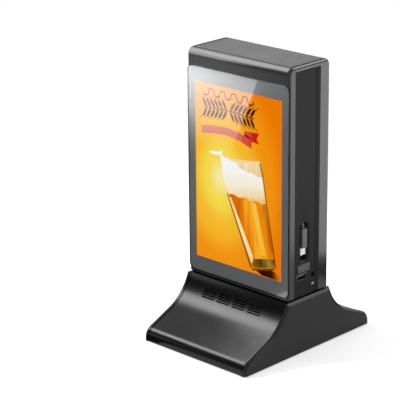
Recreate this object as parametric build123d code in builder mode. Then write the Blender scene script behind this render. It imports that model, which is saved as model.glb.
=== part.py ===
"""Tabletop display stand: an upright screen tower on a flared loudspeaker base.

Millimetres. The origin is the middle of the base on the table top, +Z is up,
the screen looks along -Y and +X is the side with the stowed charging lead.
"""
import os
from math import acos, cos, degrees, radians, sin, tan

from build123d import *

os.makedirs("parts", exist_ok=True)

# ---------------------------------------------------------------- driving sizes
tower_width = 126.0
tower_depth = 56.0
tower_top = 276.2          # top of the tower above the table
base_width = 130.0
base_length = 176.0
base_height = 55.0

wall = 2.2                 # moulded housing wall
fit_gap = 0.15             # gap round fixed inserts
slide_gap = 0.25           # gap round pieces that move
seam_gap = 1.7             # height of the black joint under the tower

# front of the tower
glass_thickness = 1.2
tape_thickness = 0.3
tape_side_inset = 0.8
tape_end_inset = 0.5
glass_side_margin = 0.5    # glass edge to tower side
glass_bottom_margin = 1.9
glass_top_margin = 16.2
glass_corner = 6.0
glass_chamfer = 0.12
front_rim_depth = 8.4      # glass face to the side panel
rear_rim_depth = 13.3      # side panel to the back face
front_top_radius = 7.0     # along the top of the front
rear_top_radius = 6.0      # along the top of the back
end_edge_radius = 3.0      # round both ends of the tower

# display module
active_width = 107.6
active_height = 172.2
lcd_width = 114.6
lcd_height = 184.2
lcd_bottom_border = 8.0    # connector side of the module
lcd_thickness = 1.0
backlight_thickness = 2.8
sheet = 0.8                # pressed steel
flex_width = 22.0
flex = 0.3                 # flat cable thickness

# top cap and side panels
cap_side_radius = wall - 0.3     # leaves a short upright edge at the sides of the cap
cap_end_radius = 0.2
cap_side_groove = 1.4
cap_end_groove = 0.1
rim_width = 2.1            # housing rim left outside the cap and behind the panels
panel_top_margin = 4.8
panel_top_gap = 0.7        # dark line over the side panels
groove_width = 0.7
groove_depth = 0.4

# lead channel on the right
channel_width = 14.0       # shallow dish round the stowed lead
channel_top = 128.7
channel_bottom = 88.0
channel_y = -5.8
dish_depth = 1.4
dish_taper = 57.0          # degrees its sides lean back
well_width = 8.6           # deep well in the dish for the plug
well_low = 91.2
well_high = 126.8
well_clearance = 0.3       # overmould to the well's floor
tub_wall = 1.2
lead_diameter = 3.2
lead_bend = 9.5
grommet_wall = 0.85
grommet_length = 2.4
overmould_width = 7.5
overmould_thickness = 6.0
overmould_length = 17.9
overmould_top = 121.4
overmould_proud = 0.75     # stands out of the panel so that fingers can grip it
plug_width = 6.9
plug_thickness = 1.8
plug_length = 7.5

# sockets on the right
usb_y = -8.8
usb_width = 13.2
usb_height = 5.8
usb_depth = 14.0
usb_shell = 0.35
usb_base = 1.0
usb_margin = 0.3           # panel opening round the socket
jack_y = 6.6
jack_body = 5.6
jack_depth = 12.0
jack_hole = 3.6
jack_pin = 1.0
led_height = 65.2
led_width = 3.2
led_thick = 1.6
board_thickness = 1.6
charger_board_top = 71.6

# buttons on the left
button_y = -2.0
button_width = 4.4
button_length = 11.0
button_pitch = 17.0
button_first_height = 196.0
button_proud = 0.8
button_travel = 0.6
button_flange = 1.2
button_names = ["volume_down_button", "volume_up_button", "power_button"]
switch_size = 6.0
switch_height = 3.4
stem_diameter = 3.2
button_board_width = 14.0
clip_width = 12.0
clip_foot = 9.0            # clip's hold on the display tray

# base shell
cheek_thickness = 5.0
cheek_edge_radius = 3.6
cheek_proud = 0.7
toe_height = 4.0
toe_radius = 11.0
skirt_slope = 24.0         # degrees from level
bend_start = 56.0          # distance from the middle where the skirt starts to rise
deck_ledge = 1.6           # base top beyond the tower
foot_height = 1.2
foot_diameter = 13.0
foot_seat = 1.2
foot_x = 50.0
foot_y = 72.0
deck_thickness = 2.4
deck_drop = 2.0
rail_width = 3.0
rail_height = 2.6

# loudspeakers
slot_length = 15.8
slot_width = 1.3
slot_pitch = 19.2
slot_columns = 4
slot_rows = 4
slot_row_pitch = 2.5
grille_middle = 0.63       # place of the grille along the bend, 0 at its foot
speaker_length = 36.0
speaker_width = 16.0
speaker_thickness = 6.0
speaker_gap = 4.0
speaker_seat = 4.6         # skirt face to the speakers' sealing plane
gasket_thickness = 0.8
gasket_rim = 2.0

# battery and ballast
ballast_thickness = 3.0
ballast_width = 104.0
ballast_length = 128.0
cell_diameter = 18.4
cell_length = 65.0
cell_count = 4
cell_pitch = 19.4
cradle_floor = 1.6
cradle_wall = 3.0
cradle_clearance = 0.3
protection_width = 20.0

# fasteners
screw_diameter = 3.0
screw_head = 5.4
screw_head_height = 2.0
boss_diameter = 7.0
housing_screw_inset = 13.0 # from the tower's side
housing_screw_top = 260.5
housing_screw_bottom = 62.6
base_screw_x = 40.0
base_screw_y = 66.0
bolt_inset = 29.0          # from the tower's side
bolt_y = 12.0
bolt_diameter = 4.0
bolt_head = 7.0
bolt_head_height = 2.4
wire_hole = 16.0           # through the deck, the gasket and the tower floor
standoff_diameter = 4.4
post_diameter = 5.0
post_screw_head = 5.2

# ---------------------------------------------------------------- derived places
half_width = tower_width / 2
half_depth = tower_depth / 2
tower_bottom = base_height + seam_gap
split_y = -half_depth + front_rim_depth           # front housing meets rear housing
panel_rear_y = half_depth - rear_rim_depth
panel_face_x = half_width - fit_gap
panel_seat_x = half_width - rim_width
panel_top = tower_top - panel_top_margin
inner_x = panel_seat_x - wall                     # inside of the rear housing's side walls
housing_screw_x = half_width - housing_screw_inset
bolt_x = half_width - bolt_inset
cap_seat = tower_top - wall
cap_front_y = -half_depth + front_top_radius
cap_rear_y = half_depth - rear_top_radius
top_wall_low = cap_seat - wall
tower_floor = tower_bottom + wall
back_inner_y = half_depth - wall

glass_low = tower_bottom + glass_bottom_margin
glass_high = tower_top - glass_top_margin
glass_half = half_width - glass_side_margin
pocket_depth = glass_thickness + tape_thickness
glass_back_y = -half_depth + glass_thickness
pocket_y = -half_depth + pocket_depth
screen_low = glass_low + (glass_high - glass_low - active_height) / 2
lcd_low = screen_low - lcd_bottom_border
lcd_mid = lcd_low + lcd_height / 2
lcd_front_y = pocket_y
backlight_front_y = lcd_front_y + lcd_thickness
bracket_front_y = backlight_front_y + backlight_thickness

deck_top = base_height - deck_drop
deck_low = deck_top - deck_thickness
tray_low = foot_height
tray_top = tray_low + wall
cheek_inner = base_width / 2 - cheek_thickness
base_half = base_length / 2
deck_half = half_depth + deck_ledge

usb_z = charger_board_top + usb_base + usb_height / 2
jack_z = charger_board_top + jack_body / 2
lead_x = panel_face_x + overmould_proud - overmould_thickness / 2
well_floor_x = lead_x - overmould_thickness / 2 - well_clearance


# ---------------------------------------------------------------- shared outlines
def tower_shell(front_y, rear_y):
    """The tower's outside between two depths, rounded along its top and round both ends."""
    with BuildPart() as shell:
        with BuildSketch(Plane.YZ.offset(-half_width)):
            with Locations((0, (tower_top + tower_bottom) / 2)):
                Rectangle(tower_depth, tower_top - tower_bottom)
        extrude(amount=tower_width)
        fillet(shell.faces().sort_by(Axis.Z)[-1].edges().filter_by(Axis.X).sort_by(Axis.Y)[0], front_top_radius)
        fillet(shell.faces().sort_by(Axis.Z)[-1].edges().filter_by(Axis.X).sort_by(Axis.Y)[-1], rear_top_radius)
        rims = [edge for end in shell.faces().filter_by(Axis.X) for edge in end.edges()
                if edge.center().Z > tower_bottom + 1.0]
        fillet(rims, end_edge_radius)
        with Locations((0, (front_y + rear_y) / 2, tower_top / 2)):
            Box(2 * tower_width, rear_y - front_y, 2 * tower_top, mode=Mode.INTERSECT)
    return shell.part


def toe_end():
    """Where the rounded toe of the skirt runs out into its straight slope."""
    turn = radians(90 - skirt_slope)
    return (base_half - toe_radius * (1 - cos(turn)), toe_height + toe_radius * sin(turn))


def skirt_face(proud=0.0, bottom=foot_height):
    """Side view of the base, both slopes, grown outwards by proud."""
    toe_y, toe_z = toe_end()
    bend_z = toe_z + (toe_y - bend_start) * tan(radians(skirt_slope))
    away = (-cos(radians(skirt_slope)), sin(radians(skirt_slope)))
    with BuildSketch() as profile:
        with BuildLine():
            Line((0, bottom), (base_half, bottom))
            Line((base_half, bottom), (base_half, toe_height))
            RadiusArc((base_half, toe_height), (toe_y, toe_z), -toe_radius)
            Line((toe_y, toe_z), (bend_start, bend_z))
            TangentArc((bend_start, bend_z), (deck_half, base_height), tangent=away)
            Line((deck_half, base_height), (0, base_height))
            Line((0, base_height), (0, bottom))
        make_face()
        mirror(about=Plane.YZ)
        if proud:
            offset(amount=proud, kind=Kind.INTERSECTION)
    return profile.sketch


def bend_edge():
    """The hollow bend of the skirt as an edge, in front of the base."""
    toe_y, toe_z = toe_end()
    bend_z = toe_z + (toe_y - bend_start) * tan(radians(skirt_slope))
    away = Vector(0, cos(radians(skirt_slope)), sin(radians(skirt_slope)))
    with BuildLine() as bend:
        TangentArc((0, -bend_start, bend_z), (0, -deck_half, base_height), tangent=away)
    return bend.edges()[0]


def finish(piece, name):
    """Name a finished piece and write its file."""
    piece.part.label = name
    export_step(piece.part, f"parts/{name}.step")


# ---------------------------------------------------------------- tower, front
with BuildPart() as front_housing:
    add(tower_shell(-half_depth, split_y))
    # pocket for the glass, open at both sides
    with BuildSketch(Plane.XZ.offset(half_depth)):
        with Locations((0, (glass_low + glass_high) / 2)):
            RectangleRounded(2 * (half_width + fit_gap), glass_high - glass_low + 2 * fit_gap, glass_corner)
    extrude(amount=-pocket_depth, mode=Mode.SUBTRACT)
    # window that holds the display module
    with BuildSketch(Plane.XZ.offset(half_depth)):
        with Locations((0, lcd_mid)):
            Rectangle(lcd_width + 2 * fit_gap, lcd_height + 2 * fit_gap)
    extrude(amount=-front_rim_depth, mode=Mode.SUBTRACT)
    # notch under the display for its flat cable
    with Locations((0, split_y, lcd_low)):
        Box(flex_width + 3.0, 2 * (split_y - backlight_front_y), 4.0, mode=Mode.SUBTRACT)
    # recess for the top cap
    with Locations((0, cap_front_y, tower_top)):
        Box(tower_width - 2 * rim_width, 2 * (split_y - cap_front_y), 2 * (tower_top - cap_seat),
            align=(Align.CENTER, Align.MIN, Align.CENTER), mode=Mode.SUBTRACT)
    # threads for the housing screws
    with Locations(Plane.XZ.offset(-split_y)):
        with Locations(*[(x, z) for x in (-housing_screw_x, housing_screw_x)
                         for z in (housing_screw_bottom, housing_screw_top)]):
            Cylinder(screw_diameter / 2, 5.0, align=(Align.CENTER, Align.CENTER, Align.MIN),
                     mode=Mode.SUBTRACT)
finish(front_housing, "front_housing")

with BuildPart() as cover_glass:
    with BuildSketch(Plane.XZ.offset(-glass_back_y)):
        with Locations((0, (glass_low + glass_high) / 2)):
            RectangleRounded(2 * glass_half, glass_high - glass_low, glass_corner)
    extrude(amount=glass_thickness)
    chamfer(cover_glass.faces().sort_by(Axis.Y)[0].edges(), glass_chamfer)
finish(cover_glass, "cover_glass")

with BuildPart() as glass_tape:
    with BuildSketch(Plane.XZ.offset(-pocket_y)):
        with Locations((0, (glass_low + glass_high) / 2)):
            RectangleRounded(2 * (glass_half - tape_side_inset), glass_high - glass_low - 2 * tape_end_inset,
                             glass_corner)
        with Locations((0, lcd_mid)):
            Rectangle(lcd_width + 2.0, lcd_height + 1.0, mode=Mode.SUBTRACT)
    extrude(amount=tape_thickness)
finish(glass_tape, "glass_tape")

with BuildPart() as lcd_panel:
    with BuildSketch(Plane.XZ.offset(-lcd_front_y)):
        with Locations((0, lcd_mid)):
            Rectangle(lcd_width, lcd_height)
    extrude(amount=-lcd_thickness)
finish(lcd_panel, "lcd_panel")

with BuildPart() as backlight_unit:
    with BuildSketch(Plane.XZ.offset(-backlight_front_y)):
        with Locations((0, lcd_mid)):
            Rectangle(lcd_width, lcd_height)
    extrude(amount=-backlight_thickness)
    fillet(backlight_unit.edges().filter_by(Axis.Y), 1.0)
finish(backlight_unit, "backlight_unit")

# pressed tray behind the display, its top and bottom flanges screwed to the front housing
bracket_back_y = bracket_front_y + sheet
flange_back_y = split_y + sheet
bracket_width = lcd_width - 2.0
bracket_low = tower_floor + fit_gap
bracket_high = housing_screw_top - boss_diameter / 2 - fit_gap
with BuildPart() as lcd_bracket:
    with BuildSketch(Plane.YZ.offset(-bracket_width / 2)):
        with BuildLine():
            Polyline(
                (flange_back_y, bracket_low),
                (split_y, bracket_low),
                (split_y, lcd_low + 1.0),
                (bracket_front_y, lcd_low + 1.0),
                (bracket_front_y, lcd_low + lcd_height - 1.0),
                (split_y, lcd_low + lcd_height - 1.0),
                (split_y, bracket_high),
                (flange_back_y, bracket_high),
                (flange_back_y, lcd_low + lcd_height - 1.0 - sheet),
                (bracket_back_y, lcd_low + lcd_height - 1.0 - sheet),
                (bracket_back_y, lcd_low + 1.0 + sheet),
                (flange_back_y, lcd_low + 1.0 + sheet),
                close=True,
            )
        make_face()
    extrude(amount=bracket_width)
    with BuildSketch(Plane.XZ.offset(-split_y)):
        with Locations((-housing_screw_x, housing_screw_bottom), (housing_screw_x, housing_screw_bottom)):
            SlotOverall(2 * boss_diameter, boss_diameter + 2 * fit_gap, rotation=90)
    extrude(amount=-2 * sheet, mode=Mode.SUBTRACT)
    # slot for the display's flat cable
    with Locations((0, split_y, lcd_low)):
        Box(flex_width + 3.0, 4 * sheet, 4.0, mode=Mode.SUBTRACT)
finish(lcd_bracket, "lcd_bracket")

# ---------------------------------------------------------------- tower, rear
with BuildPart() as rear_housing:
    add(tower_shell(split_y, half_depth))
    # inside, narrower where the side panels are let in
    with Locations((0, (split_y + back_inner_y) / 2, (tower_floor + top_wall_low) / 2)):
        Box(2 * inner_x, back_inner_y - split_y, top_wall_low - tower_floor, mode=Mode.SUBTRACT)
    rear_room_front = panel_rear_y + wall
    with Locations((0, (rear_room_front + back_inner_y) / 2, (tower_floor + top_wall_low) / 2)):
        Box(2 * (half_width - wall), back_inner_y - rear_room_front, top_wall_low - tower_floor,
            mode=Mode.SUBTRACT)
    # seats for the side panels
    for side in (-1, 1):
        with Locations((side * half_width, (split_y + panel_rear_y) / 2, (tower_bottom + panel_top) / 2)):
            Box(2 * rim_width, panel_rear_y - split_y, panel_top - tower_bottom, mode=Mode.SUBTRACT)
    # recess for the top cap
    with Locations((0, (split_y + cap_rear_y) / 2, tower_top)):
        Box(tower_width - 2 * rim_width, cap_rear_y - split_y, 2 * (tower_top - cap_seat), mode=Mode.SUBTRACT)
    # posts for the housing screws
    with Locations(Plane.XZ.offset(-back_inner_y)):
        with Locations(*[(x, z) for x in (-housing_screw_x, housing_screw_x)
                         for z in (housing_screw_bottom, housing_screw_top)]):
            Cylinder(boss_diameter / 2, back_inner_y - split_y, align=(Align.CENTER, Align.CENTER, Align.MIN))
    with Locations(Plane.XZ.offset(-half_depth)):
        with Locations(*[(x, z) for x in (-housing_screw_x, housing_screw_x)
                         for z in (housing_screw_bottom, housing_screw_top)]):
            Cylinder(screw_diameter / 2 + fit_gap, 2 * tower_depth, mode=Mode.SUBTRACT)
            Cylinder(screw_head / 2 + fit_gap, 2 * (screw_head_height + 0.6), mode=Mode.SUBTRACT)
    # way in for the channel tub, the sockets and the lamp on the right
    channel_gap_low = channel_bottom - 2 * fit_gap
    channel_gap_high = channel_top + lead_bend
    with Locations((half_width - rim_width - wall / 2, channel_y, (channel_gap_low + channel_gap_high) / 2)):
        Box(2 * wall, channel_width + 2 * tub_wall + 1.6, channel_gap_high - channel_gap_low, mode=Mode.SUBTRACT)
    socket_low = led_height - led_thick
    socket_high = usb_z + usb_height / 2 + fit_gap
    with Locations((half_width - rim_width - wall / 2, (usb_y + jack_y) / 2, (socket_low + socket_high) / 2)):
        Box(2 * wall, jack_y - usb_y + usb_width + 3.0, socket_high - socket_low, mode=Mode.SUBTRACT)
    # way in for the buttons on the left
    with Locations((-(half_width - rim_width - wall / 2), button_y, button_first_height + button_pitch)):
        Box(2 * wall, button_width + 2 * button_flange + 2.0, 2 * button_pitch + button_length + 6.0,
            mode=Mode.SUBTRACT)
    # bolts and wires come up through the floor
    with Locations((0, 0, tower_bottom)):
        with Locations(*[(x, y) for x in (-bolt_x, bolt_x) for y in (-bolt_y, bolt_y)]):
            Cylinder(bolt_diameter / 2 + fit_gap, 4 * wall, mode=Mode.SUBTRACT)
        Cylinder(wire_hole / 2, 4 * wall, mode=Mode.SUBTRACT)
finish(rear_housing, "rear_housing")

with BuildPart() as top_cap:
    cap_low_y = cap_front_y + cap_end_groove
    cap_length = cap_rear_y - cap_end_groove - cap_low_y
    with Locations((0, cap_low_y + cap_length / 2, cap_seat)):
        Box(tower_width - 2 * rim_width - 2 * cap_side_groove, cap_length, tower_top - cap_seat,
            align=(Align.CENTER, Align.CENTER, Align.MIN))
    fillet(top_cap.faces().sort_by(Axis.Z)[-1].edges().filter_by(Axis.Y), cap_side_radius)
    fillet(top_cap.faces().sort_by(Axis.Z)[-1].edges().filter_by(Axis.X), cap_end_radius)
finish(top_cap, "top_cap")

# ---------------------------------------------------------------- side panels
lead_turn_z = overmould_top + 1.0
lead_lean = acos(1 - (lead_x - well_floor_x - tub_wall) / lead_bend)    # lead's lean where it leaves the well
grommet_place = Location((lead_x - lead_bend * (1 - cos(lead_lean)), channel_y, lead_turn_z + lead_bend * sin(lead_lean)),
                         (0, -degrees(lead_lean), 0))

panel_length = panel_rear_y - split_y - 2 * fit_gap
panel_mid_y = (panel_rear_y + split_y) / 2
panel_low = tower_bottom
panel_high = panel_top - panel_top_gap

with BuildPart() as right_side_panel:
    with Locations(((panel_seat_x + panel_face_x) / 2, panel_mid_y, (panel_low + panel_high) / 2)):
        Box(panel_face_x - panel_seat_x, panel_length, panel_high - panel_low)
    # backing behind the dish, and the tub round the deep well
    with BuildSketch(Plane.YZ.offset(panel_seat_x - tub_wall)):
        with Locations((channel_y, (channel_bottom + channel_top) / 2)):
            SlotOverall(channel_top - channel_bottom, channel_width, rotation=90)
    extrude(amount=tub_wall)
    well_mid = (well_low + well_high) / 2
    with Locations((well_floor_x - tub_wall, channel_y, well_mid)):
        Box(panel_seat_x - well_floor_x + tub_wall, well_width + 2 * tub_wall, well_high - well_low + 2 * tub_wall,
            align=(Align.MIN, Align.CENTER, Align.CENTER))
    with Locations((well_floor_x, channel_y, well_mid)):
        Box(2 * overmould_thickness, well_width, well_high - well_low,
            align=(Align.MIN, Align.CENTER, Align.CENTER), mode=Mode.SUBTRACT)
    # shallow dish with round ends and sloping sides
    with BuildSketch(Plane.YZ.offset(panel_face_x)):
        with Locations((channel_y, (channel_bottom + channel_top) / 2)):
            SlotOverall(channel_top - channel_bottom, channel_width, rotation=90)
    extrude(amount=-dish_depth, taper=dish_taper, mode=Mode.SUBTRACT)
    # hole where the lead comes into the well
    with Locations(grommet_place):
        Cylinder(lead_diameter / 2 + grommet_wall + fit_gap, 3 * grommet_length, mode=Mode.SUBTRACT)
    # openings for the sockets and the lamp
    with Locations((panel_face_x, usb_y, usb_z)):
        Box(6 * rim_width, usb_width + 2 * usb_margin, usb_height + 2 * usb_margin,
            mode=Mode.SUBTRACT)
    with Locations((panel_face_x, jack_y, jack_z)):
        Cylinder(jack_hole / 2 + 0.6, 6 * rim_width, rotation=(0, 90, 0), mode=Mode.SUBTRACT)
    with Locations((panel_face_x, jack_y, led_height)):
        Box(6 * rim_width, led_width + 2 * fit_gap, led_thick + 2 * fit_gap, mode=Mode.SUBTRACT)
    # two fine grooves down the rear of the panel
    for groove_y in (panel_rear_y - 3.2, panel_rear_y - 5.8):
        with Locations((panel_face_x, groove_y, (panel_low + panel_high) / 2)):
            Box(2 * groove_depth, groove_width, panel_high - panel_low, mode=Mode.SUBTRACT)
finish(right_side_panel, "right_side_panel")

with BuildPart() as left_side_panel:
    with Locations((-(panel_seat_x + panel_face_x) / 2, panel_mid_y, (panel_low + panel_high) / 2)):
        Box(panel_face_x - panel_seat_x, panel_length, panel_high - panel_low)
    for number in range(len(button_names)):
        with BuildSketch(Plane.YZ.offset(-panel_face_x - 1.0)):
            with Locations((button_y, button_first_height + number * button_pitch)):
                SlotOverall(button_length + 2 * slide_gap, button_width + 2 * slide_gap, rotation=90)
        extrude(amount=3 * rim_width, mode=Mode.SUBTRACT)
    for groove_y in (panel_rear_y - 3.2, panel_rear_y - 5.8):
        with Locations((-panel_face_x, groove_y, (panel_low + panel_high) / 2)):
            Box(2 * groove_depth, groove_width, panel_high - panel_low, mode=Mode.SUBTRACT)
finish(left_side_panel, "left_side_panel")

# ---------------------------------------------------------------- stowed charging lead
lead_low_inside = charger_board_top + 4.0
with BuildPart() as charge_lead:
    with BuildLine() as lead_path:
        Line((lead_x, channel_y, overmould_top), (lead_x, channel_y, lead_turn_z))
        ThreePointArc((lead_x, channel_y, lead_turn_z),
                      (lead_x - lead_bend, channel_y, lead_turn_z + lead_bend),
                      (lead_x - 2 * lead_bend, channel_y, lead_turn_z))
        Line((lead_x - 2 * lead_bend, channel_y, lead_turn_z), (lead_x - 2 * lead_bend, channel_y, lead_low_inside))
    with BuildSketch(Plane.XY.offset(overmould_top)):
        with Locations((lead_x, channel_y)):
            Circle(lead_diameter / 2)
    sweep()
finish(charge_lead, "charge_lead")

with BuildPart() as lead_grommet:
    with Locations(grommet_place):
        Cylinder(lead_diameter / 2 + grommet_wall, grommet_length)
    add(charge_lead.part, mode=Mode.SUBTRACT)
finish(lead_grommet, "lead_grommet")

with BuildPart() as lead_overmould:
    with Locations((lead_x, channel_y, overmould_top - overmould_length / 2)):
        Box(overmould_thickness, overmould_width, overmould_length)
    fillet(lead_overmould.edges().filter_by(Axis.Z), 1.2)
    fillet(lead_overmould.faces().sort_by(Axis.Z)[-1].edges(), 1.0)
finish(lead_overmould, "lead_overmould")

plug_top = overmould_top - overmould_length
with BuildPart() as lead_plug:
    with Locations((lead_x, channel_y, plug_top - plug_length / 2)):
        Box(plug_thickness, plug_width, plug_length)
    fillet(lead_plug.edges().filter_by(Axis.Z), 0.6)
    chamfer(lead_plug.faces().sort_by(Axis.Z)[0].edges(), 0.3)
finish(lead_plug, "lead_plug")

# ---------------------------------------------------------------- charging board and sockets
charger_board_right = inner_x - 0.6
charger_board_left = charger_board_right - 40.0
charger_board_front = usb_y - usb_width / 2 - 1.5
charger_board_back = jack_y + jack_body / 2 + 3.0
with BuildPart() as charger_board:
    with BuildSketch(Plane.XY.offset(charger_board_top - board_thickness)):
        with Locations(((charger_board_left + charger_board_right) / 2,
                        (charger_board_front + charger_board_back) / 2)):
            RectangleRounded(charger_board_right - charger_board_left, charger_board_back - charger_board_front, 1.0)
    extrude(amount=board_thickness)
finish(charger_board, "charger_board")

standoff_inset = 3.0
standoffs_x = (charger_board_left + standoff_inset, housing_screw_x - boss_diameter / 2 - standoff_inset)
standoffs_y = (charger_board_front + standoff_inset, charger_board_back - standoff_inset)
with BuildPart() as charger_standoffs:
    with Locations(*[(x, y, tower_floor) for x in standoffs_x for y in standoffs_y]):
        Cylinder(standoff_diameter / 2, charger_board_top - board_thickness - tower_floor,
                 align=(Align.CENTER, Align.CENTER, Align.MIN))
finish(charger_standoffs, "charger_standoffs")

lead_end_x = lead_x - 2 * lead_bend
with BuildPart() as lead_terminal:
    with Locations((lead_end_x, channel_y, charger_board_top)):
        Box(6.0, 6.0, lead_low_inside - charger_board_top, align=(Align.CENTER, Align.CENTER, Align.MIN))
    chamfer(lead_terminal.faces().sort_by(Axis.Z)[-1].edges(), 0.6)
finish(lead_terminal, "lead_terminal")

usb_front = panel_face_x - fit_gap
jack_front = panel_seat_x - fit_gap
with BuildPart() as usb_socket:
    with Locations((usb_front - usb_depth / 2, usb_y, usb_z)):
        Box(usb_depth, usb_width, usb_height)
        fillet(usb_socket.edges().filter_by(Axis.X), 0.5)
    with Locations((usb_front, usb_y, usb_z)):
        Box(2 * (usb_depth - 2.0), usb_width - 2 * usb_shell, usb_height - 2 * usb_shell, mode=Mode.SUBTRACT)
finish(usb_socket, "usb_socket")

with BuildPart() as usb_tongue:
    with Locations((usb_front - usb_depth + 2.0, usb_y, usb_z + 0.9)):
        Box(usb_depth - 3.0, usb_width - 2.0, 1.8, align=(Align.MIN, Align.CENTER, Align.CENTER))
finish(usb_tongue, "usb_tongue")

with BuildPart() as usb_support:
    with Locations((usb_front - usb_depth + 1.0, usb_y, charger_board_top)):
        Box(charger_board_right - (usb_front - usb_depth) - 1.0, usb_width - 1.0, usb_base,
            align=(Align.MIN, Align.CENTER, Align.MIN))
finish(usb_support, "usb_support")

with BuildPart() as power_jack:
    with Locations((jack_front - jack_depth / 2, jack_y, jack_z)):
        Box(jack_depth, jack_body, jack_body)
    with Locations((jack_front - jack_depth / 2 + 2.0, jack_y, jack_z)):
        Cylinder(jack_hole / 2, jack_depth, rotation=(0, 90, 0), mode=Mode.SUBTRACT)
    with Locations((jack_front - jack_depth / 2 - 1.0, jack_y, jack_z)):
        Cylinder(jack_pin / 2, jack_depth - 3.0, rotation=(0, 90, 0))
finish(power_jack, "power_jack")

with BuildPart() as light_pipe:
    with Locations((panel_face_x - 7.0, jack_y, led_height)):
        Box(7.0, led_width, led_thick, align=(Align.MIN, Align.CENTER, Align.CENTER))
    pipe_top = charger_board_top - board_thickness
    with Locations((panel_face_x - 7.0, jack_y, led_height - led_thick / 2)):
        Box(1.6, led_width, pipe_top - led_height + led_thick / 2, align=(Align.MIN, Align.CENTER, Align.MIN))
finish(light_pipe, "light_pipe")

# ---------------------------------------------------------------- buttons on the left
flange_thickness = 1.0
button_face_x = -panel_face_x - button_proud
flange_outer_x = -panel_seat_x + slide_gap
switch_face_x = flange_outer_x + flange_thickness + button_travel + 1.6
button_board_x = switch_face_x + switch_height
button_middle = button_first_height + button_pitch
for number, name in enumerate(button_names):
    height = button_first_height + number * button_pitch
    with BuildPart() as button:
        with BuildSketch(Plane.YZ.offset(button_face_x)):
            with Locations((button_y, height)):
                SlotOverall(button_length, button_width, rotation=90)
        extrude(amount=flange_outer_x - button_face_x)
        fillet(button.faces().sort_by(Axis.X)[0].edges(), 0.5)
        with BuildSketch(Plane.YZ.offset(flange_outer_x)):
            with Locations((button_y, height)):
                SlotOverall(button_length + 2 * button_flange, button_width + 2 * button_flange, rotation=90)
        extrude(amount=flange_thickness)
    finish(button, name)

    with BuildPart() as stem:
        with Locations((flange_outer_x + flange_thickness, button_y, height)):
            Cylinder(stem_diameter / 2, button_travel + 2.4, rotation=(0, 90, 0),
                     align=(Align.CENTER, Align.CENTER, Align.MIN))
    finish(stem, name.replace("button", "switch_stem"))

with BuildPart() as tact_switches:
    with Locations(*[(switch_face_x, button_y, button_first_height + number * button_pitch)
                     for number in range(len(button_names))]):
        Box(switch_height, switch_size, switch_size, align=(Align.MIN, Align.CENTER, Align.CENTER))
        Cylinder(stem_diameter / 2 + slide_gap, 2 * (button_travel + 1.2), rotation=(0, 90, 0), mode=Mode.SUBTRACT)
finish(tact_switches, "tact_switches")

with BuildPart() as button_board:
    with Locations((button_board_x, button_y, button_middle)):
        Box(board_thickness, button_board_width, 3 * button_pitch, align=(Align.MIN, Align.CENTER, Align.CENTER))
finish(button_board, "button_board")

button_board_back = button_board_x + board_thickness
with BuildPart() as button_board_clip:
    # pressed bracket from the button board to the display tray
    clip_foot_x = max(button_board_back + 0.2, -bracket_width / 2 + 4.0)
    with BuildSketch(Plane.XY.offset(button_middle - clip_width / 2)):
        with BuildLine():
            Polyline(
                (button_board_back, button_y - clip_width / 2),
                (button_board_back + sheet, button_y - clip_width / 2),
                (button_board_back + sheet, button_y + clip_width / 2),
                (button_board_back, button_y + clip_width / 2),
                close=True,
            )
        make_face()
        with BuildLine():
            Polyline(
                (button_board_back, button_y - clip_width / 2),
                (button_board_back + sheet, button_y - clip_width / 2),
                (button_board_back + sheet, split_y),
                (button_board_back, split_y),
                close=True,
            )
        make_face()
        with BuildLine():
            Polyline(
                (button_board_back, split_y),
                (button_board_back, split_y + sheet),
                (clip_foot_x + sheet, split_y + sheet),
                (clip_foot_x + sheet, bracket_back_y + sheet),
                (clip_foot_x + clip_foot, bracket_back_y + sheet),
                (clip_foot_x + clip_foot, bracket_back_y),
                (clip_foot_x, bracket_back_y),
                (clip_foot_x, split_y),
                close=True,
            )
        make_face()
    extrude(amount=clip_width)
finish(button_board_clip, "button_board_clip")

# ---------------------------------------------------------------- main board on the display tray
main_board_width = 92.0
main_board_height = 62.0
main_board_mid = lcd_mid + 20.0
main_board_front = bracket_back_y + 5.0
main_posts = [(x, z) for x in (-main_board_width / 2 + 4.0, main_board_width / 2 - 4.0)
              for z in (main_board_mid - main_board_height / 2 + 4.0, main_board_mid + main_board_height / 2 - 4.0)]
with BuildPart() as main_board:
    with BuildSketch(Plane.XZ.offset(-main_board_front)):
        with Locations((0, main_board_mid)):
            RectangleRounded(main_board_width, main_board_height, 2.0)
    extrude(amount=-board_thickness)
finish(main_board, "main_board")

with BuildPart() as board_posts:
    with Locations(Plane.XZ.offset(-bracket_back_y)):
        with Locations(*main_posts):
            Cylinder(post_diameter / 2, main_board_front - bracket_back_y, align=(Align.CENTER, Align.CENTER, Align.MAX))
finish(board_posts, "board_posts")

board_back_y = main_board_front + board_thickness
with BuildPart() as board_screws:
    with Locations(Plane.XZ.offset(-board_back_y)):
        with Locations(*main_posts):
            Cylinder(post_screw_head / 2, 1.8, align=(Align.CENTER, Align.CENTER, Align.MAX))
finish(board_screws, "board_screws")

chip_rows = [(-22.0, 8.0, 15.0, 15.0, 1.6), (6.0, 10.0, 11.0, 8.0, 1.2), (24.0, -8.0, 9.0, 9.0, 1.4),
             (-4.0, -14.0, 12.0, 6.0, 2.2), (-30.0, -16.0, 8.0, 12.0, 5.0)]
with BuildPart() as board_chips:
    for chip_x, chip_z, chip_width, chip_height, chip_thickness in chip_rows:
        with Locations((chip_x, board_back_y, main_board_mid + chip_z)):
            Box(chip_width, chip_thickness, chip_height, align=(Align.CENTER, Align.MIN, Align.CENTER))
finish(board_chips, "board_chips")

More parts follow.
